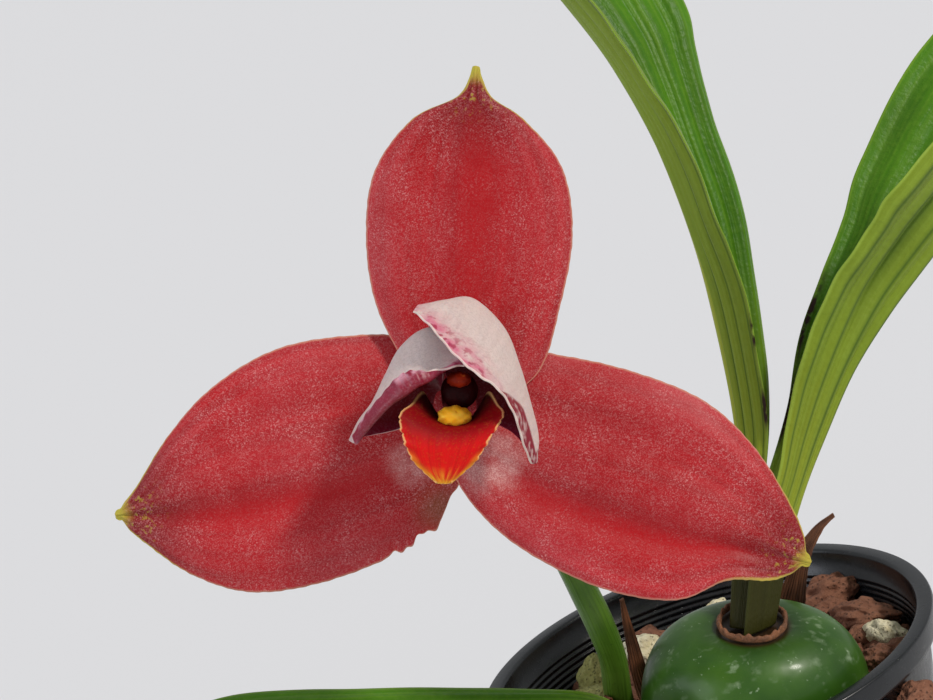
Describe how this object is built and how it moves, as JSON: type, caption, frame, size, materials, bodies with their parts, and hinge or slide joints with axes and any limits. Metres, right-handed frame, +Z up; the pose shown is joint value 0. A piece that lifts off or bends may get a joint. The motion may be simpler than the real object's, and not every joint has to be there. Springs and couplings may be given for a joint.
{
  "type": "potted lycaste orchid",
  "caption": "Lycaste orchid with a large red three-sepalled flower, pleated leaves and a green pseudobulb, growing in a round plastic pot of lava and pumice.",
  "frame": {"origin": "centre of the pot's flat underside", "axes": "+Z up out of the pot, the flower faces -Y, +X to the right of a viewer in front of the flower"},
  "size_m": [0.3454, 0.1628, 0.3036],
  "materials": {
    "pot_plastic": "dark moulded polypropylene, slightly glossy",
    "lava": "broken red-brown lava, rough and porous, stands in for stone",
    "pumice": "pale pumice, rough, stands in for stone",
    "bulb": "glossy green skin with a white bloom",
    "root": "pale corky root",
    "leaf": "satin green plicate leaf",
    "stem": "smooth green stem",
    "dry_sheath": "dry brown papery sheath",
    "green_bract": "thin green bract with brown tip",
    "sepal": "fleshy deep red with a crystalline sparkle",
    "petal": "fleshy white outside, mottled magenta inside",
    "lip": "velvety orange-red with a yellow frilled edge",
    "column": "waxy dark red",
    "anther": "waxy brown-orange"
  },
  "bodies": {
    "root": {"pot": "pot_plastic", "growing_medium": "lava", "rhizome": "root", "pseudobulb": "bulb", "neck_collar": "dry_sheath", "leaf_left": "leaf", "leaf_right": "leaf", "leaf_low": "leaf", "scape": "stem", "ovary": "stem", "sheath_behind_bulb": "dry_sheath", "bract_beside_scape": "dry_sheath", "scape_sheath": "dry_sheath", "floral_bract": "green_bract", "sepal_left": "sepal", "sepal_right": "sepal", "dorsal_sepal": "sepal", "petal_left": "petal", "petal_right": "petal", "lip": "lip", "column": "column", "anther_cap": "anther", "pumice_stone_1": "pumice", "pumice_stone_2": "pumice", "pumice_stone_3": "pumice", "pumice_stone_4": "pumice", "pumice_stone_5": "pumice", "pumice_stone_6": "pumice"}
  },
  "joints": []
}
